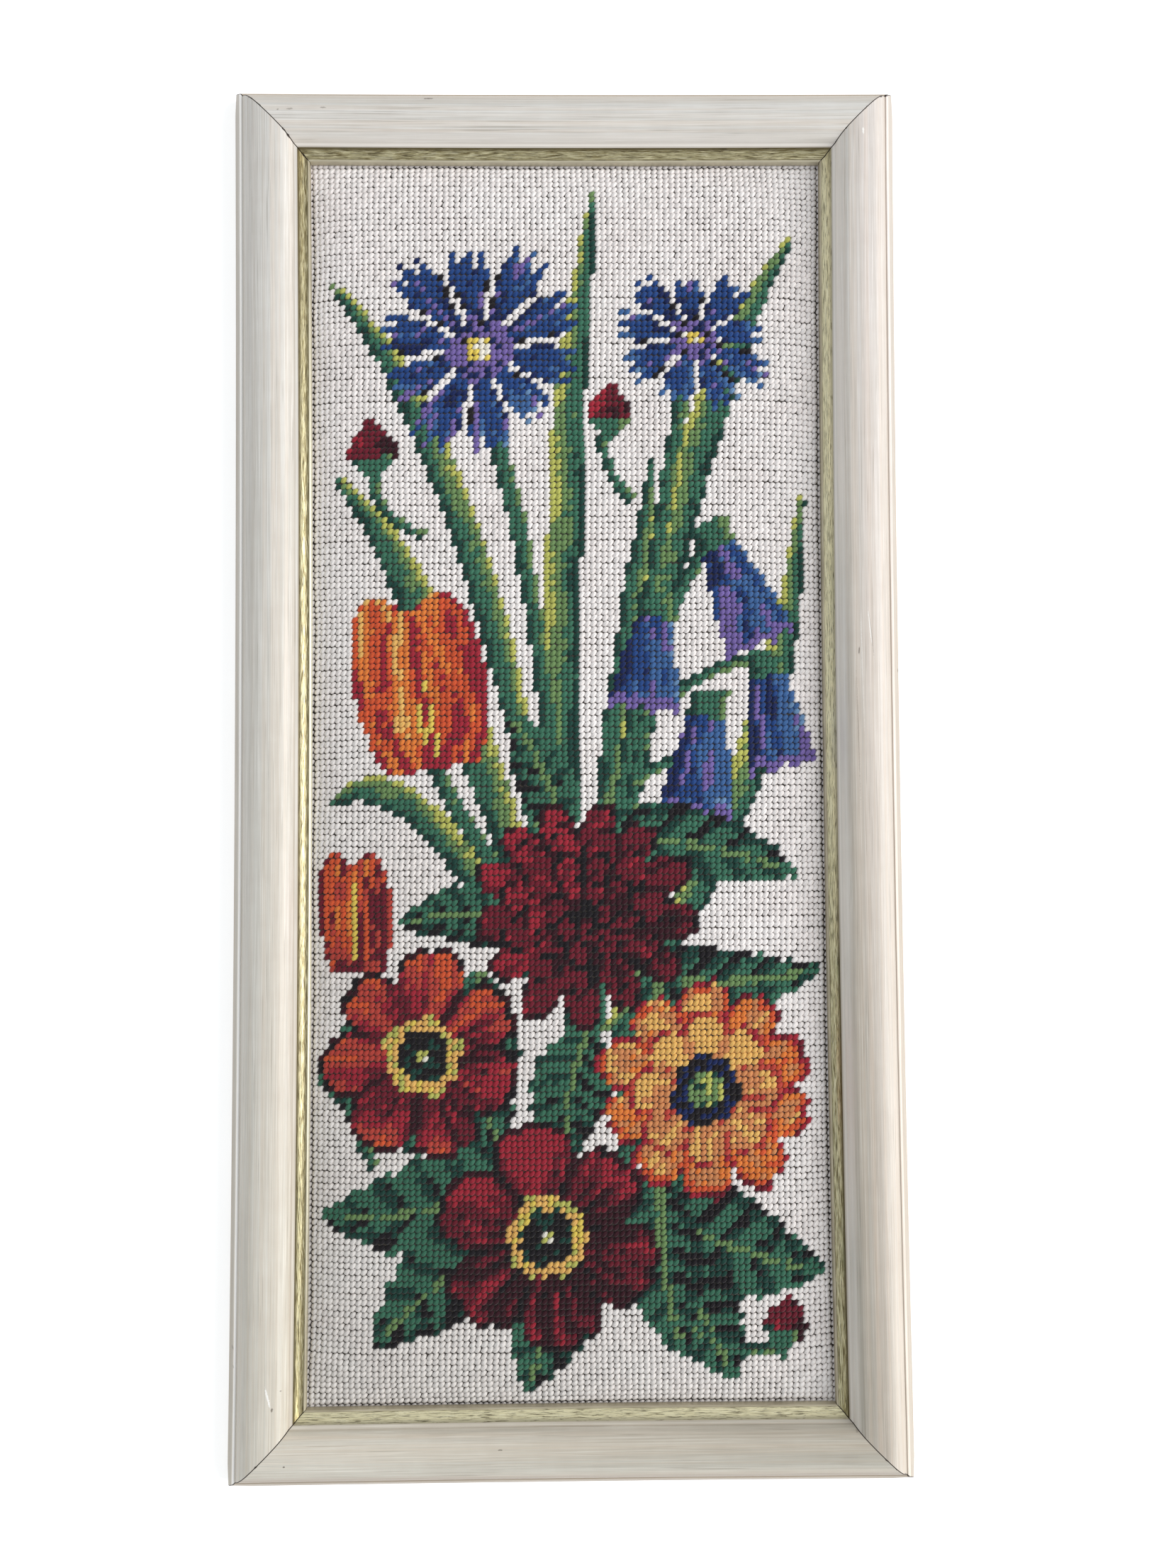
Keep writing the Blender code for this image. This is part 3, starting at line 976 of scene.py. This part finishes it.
def stitch_tree():
    """Lays one slanting strand of wool on every point and joins them into one mesh."""
    tree = bpy.data.node_groups.new("slanting_stitches", "GeometryNodeTree")

    def new_socket(name, kind, in_out="INPUT"):
        return tree.interface.new_socket(name, in_out=in_out, socket_type="NodeSocket" + kind)

    new_socket("Canvas Points", "Geometry")
    for name, value in STRAND.items():
        new_socket(name, "Float").default_value = value
    new_socket("Seed", "Int").default_value = 1
    new_socket("Wool", "Material")
    new_socket("Stitches", "Geometry", "OUTPUT")

    bench = Bench(tree)
    given = bench.add("NodeGroupInput").outputs
    half_length, half_width, half_height = [
        bench.times(given["Strand " + way], 0.5) for way in ("Length", "Width", "Height")]

    ball = bench.add("GeometryNodeMeshUVSphere", {"Segments": 5, "Rings": 5, "Radius": 1.0})
    smooth = bench.take("GeometryNodeSetShadeSmooth", {"Geometry": ball.outputs["Mesh"]})
    up, sideways, along = bench.parts(bench.take("GeometryNodeInputPosition"))
    aside = bench.times(sideways, -1.0)
    marked = bench.take("GeometryNodeStoreNamedAttribute", {
        "Geometry": smooth, "Name": "strand", "Value": bench.joined(along, aside, up)},
        data_type="FLOAT_VECTOR", domain="POINT")
    end = bench.times(along, along)
    fuller = bench.plus(1.0, bench.times(given["Fullness"], end))
    across = bench.times(bench.times(aside, half_width), fuller)
    slanted = bench.minus(bench.times(along, half_length),
                          bench.times(across, given["End Slant"]))
    dipped = bench.minus(bench.times(bench.times(up, half_height), fuller),
                         bench.times(given["End Dip"], end))
    strand = bench.take("GeometryNodeSetPosition", {
        "Geometry": marked, "Position": bench.joined(slanted, across, dipped)})

    facing = bench.add("GeometryNodeInputNamedAttribute", {"Name": "facing"},
                       data_type="FLOAT_VECTOR").outputs["Attribute"]
    upright = bench.take("FunctionNodeAlignRotationToVector", {"Vector": facing}, axis="Z")

    def chance(low, high, offset, kind="FLOAT"):
        """A random value for each stitch."""
        node = bench.add("FunctionNodeRandomValue", data_type=kind)
        named = {socket.name: socket for socket in node.inputs
                 if socket.enabled and not socket.hide}
        bench.feed(named["Min"], low)
        bench.feed(named["Max"], high)
        bench.feed(named["Seed"], bench.plus(given["Seed"], offset))
        return next(socket for socket in node.outputs if socket.enabled)

    sway = chance(bench.times(given["Lean Spread"], -1.0), given["Lean Spread"], 1.0)
    turn = bench.take("FunctionNodeEulerToRotation", {
        0: bench.joined(0.0, 0.0, bench.plus(given["Lean"], sway))})
    rotation = bench.take("FunctionNodeRotateRotation", {
        "Rotation": upright, "Rotate By": turn}, rotation_space="LOCAL")
    size = chance(bench.minus(1.0, given["Size Spread"]), bench.plus(1.0, given["Size Spread"]),
                  2.0, "FLOAT_VECTOR")
    laid = bench.take("GeometryNodeInstanceOnPoints", {
        "Points": given["Canvas Points"], "Instance": strand, "Rotation": rotation,
        "Scale": size})
    toned = bench.take("GeometryNodeStoreNamedAttribute", {
        "Geometry": laid, "Name": "tone", "Value": chance(0.0, 1.0, 3.0)},
        domain="INSTANCE")
    joined = bench.take("GeometryNodeRealizeInstances", {"Geometry": toned})

    wobble = bench.add("ShaderNodeTexNoise", {"Scale": 900.0, "Detail": 1.0}).outputs["Color"]
    wobble = bench.vector("SUBTRACT", wobble, (0.5, 0.5, 0.5))
    fluff = bench.take("ShaderNodeVectorMath", {0: wobble, "Scale": given["Fluff"]},
                       operation="SCALE")
    fluffed = bench.take("GeometryNodeSetPosition", {"Geometry": joined, "Offset": fluff})
    dyed = bench.take("GeometryNodeSetMaterial", {"Geometry": fluffed, "Material": given["Wool"]})
    bench.add("NodeGroupOutput", {0: dyed})
    return tree


def stitch_places():
    """Where each stitch of the chart lies, and the way that the canvas faces there."""
    x, y = np.meshgrid(canvas_lines(SIGHT_WIDTH / 2, COLUMNS),
                       canvas_lines(SIGHT_HEIGHT / 2, ROWS)[::-1])
    column, line = np.meshgrid(np.arange(COLUMNS), np.arange(ROWS))
    chance = np.random.default_rng(PLACE_SEED)
    row_shift = chance.normal(0, ROW_SHIFT, (ROWS, 1)) + ROW_ZIGZAG * (-1.0) ** line[:, :1]
    x = x + PITCH * (DRIFT_ACROSS * (mottle(column / 16, line / 9, 5) - 0.5)
                     + chance.normal(0, STITCH_SHIFT, x.shape))
    y = y + row_shift * PITCH + PITCH * (DRIFT_UP * (mottle(column / 12, line / 20, 6) - 0.5)
                                         + chance.normal(0, STITCH_SHIFT, y.shape))
    rise, slope_x, slope_y = swell(x, y)
    facing = np.stack([-slope_x, -slope_y, np.ones_like(x)], -1)
    facing /= np.linalg.norm(facing, axis=-1, keepdims=True)
    top = np.stack([*drawn_in(x, y), CANVAS_RIM_TOP + rise], -1)
    return top - facing * STRAND["Strand Height"] / 2, facing


def work_stitches(name, tree, places, facing, wool, seed):
    """One piece of stitches in one shade, made by the tree and kept as a plain mesh."""
    points = bpy.data.meshes.new(name)
    points.from_pydata(places.tolist(), [], [])
    points.attributes.new("facing", "FLOAT_VECTOR", "POINT").data.foreach_set(
        "vector", facing.astype(np.float32).ravel())
    piece = show(name, points)

    modifier = piece.modifiers.new("stitches", "NODES")
    modifier.node_group = tree
    sockets = {item.name: item.identifier for item in tree.interface.items_tree
               if item.item_type == "SOCKET"}
    modifier[sockets["Seed"]] = seed
    modifier[sockets["Wool"]] = wool
    depsgraph = bpy.context.evaluated_depsgraph_get()
    mesh = bpy.data.meshes.new_from_object(piece.evaluated_get(depsgraph),
                                           preserve_all_data_layers=True, depsgraph=depsgraph)
    piece.modifiers.remove(modifier)
    mesh.name = name
    piece.data = mesh
    bpy.data.meshes.remove(points)
    return piece


def make_canvas():
    """The canvas cloth with every stitch of the chart on it."""
    work_chart()
    places, facing = stitch_places()
    tree = stitch_tree()
    for number, shade in enumerate(SHADES):
        holes = np.argwhere(chart == number)
        wool = dyed_wool(shade, WOOLS[shade])
        shares = math.ceil(len(holes) / STITCHES_PER_PIECE)
        for share, chosen in enumerate(np.array_split(holes, shares)):
            where = tuple(chosen.T)
            name = f"stitches_{shade}" + (f"_{share + 1}" if shares > 1 else "")
            piece = work_stitches(name, tree, places[where], facing[where], wool,
                                  100 * number + share)
            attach(piece, "root")

    ground = make_ground()
    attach(ground, "root")
    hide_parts("stitched_canvas")


# Camera, floor and light

CAMERA_PLACE = (2.4 * MM, -22.4 * MM, 462.0 * MM)
CAMERA_TILT = [math.radians(turn) for turn in (2.23, -0.65, -0.32)]
CAMERA_FOCUS = 1661.0
IMAGE_HEIGHT = 2212.0
FLOOR_REACH = 4.0
FLOOR_GLOW = 0.42
SKY_STRENGTH = 0.65
WINDOW_PLACE = (3.65, 0.10, 2.08)
WINDOW_SIZE = (2.6, 3.1)
WINDOW_ENERGY = 139.0


def make_camera():
    """The photograph's viewpoint, straight above the face."""
    lens = bpy.data.cameras.new("camera")
    lens.lens = lens.sensor_width * CAMERA_FOCUS / IMAGE_HEIGHT
    lens.clip_start = 0.01
    camera = show("camera", lens)
    camera.rotation_mode = "ZYX"
    camera.location = CAMERA_PLACE
    camera.rotation_euler = CAMERA_TILT
    scene.camera = camera


def make_floor():
    """A plain pale floor under the frame."""
    pale = Finish("pale floor")
    cloud = pale.noise(pale.place, 3.0, 2.0)
    colour = pale.ramp(cloud, (0.0, (0.93,) * 3), (1.0, (0.95,) * 3))
    for name, value in (("Base Color", colour), ("Roughness", 0.9),
                        ("Emission Color", (*WHITE, 1.0)), ("Emission Strength", FLOOR_GLOW)):
        pale.feed(pale.shader[name], value)
    mesh = bpy.data.meshes.new("floor")
    side = FLOOR_REACH
    corners = [(-side, -side, 0), (side, -side, 0), (side, side, 0), (-side, side, 0)]
    mesh.from_pydata(corners, [], [(0, 1, 2, 3)])
    mesh.materials.append(pale.material)
    floor = show("floor", mesh)


def make_light():
    """Soft daylight all round, and a broad window to the right of the picture."""
    world = bpy.data.worlds.new("daylight")
    world.use_nodes = True
    sky = world.node_tree.nodes["Background"].inputs
    sky["Color"].default_value = (0.95, 0.98, 1.0, 1.0)
    sky["Strength"].default_value = SKY_STRENGTH
    scene.world = world

    window = bpy.data.lights.new("window", "AREA")
    window.shape = "RECTANGLE"
    window.size, window.size_y = WINDOW_SIZE
    window.energy = WINDOW_ENERGY
    window.color = (1.0, 0.98, 0.95)
    light = show("window", window)
    light.location = WINDOW_PLACE
    light.rotation_euler = (-Vector(WINDOW_PLACE)).to_track_quat("-Z", "Y").to_euler()
    scene.view_settings.view_transform = "Standard"


make_camera()
make_light()
make_floor()
make_frame()
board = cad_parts["mount_board"]
board_finish = pressed_board()
for material_slot in board.material_slots:
    material_slot.material = board_finish
make_canvas()
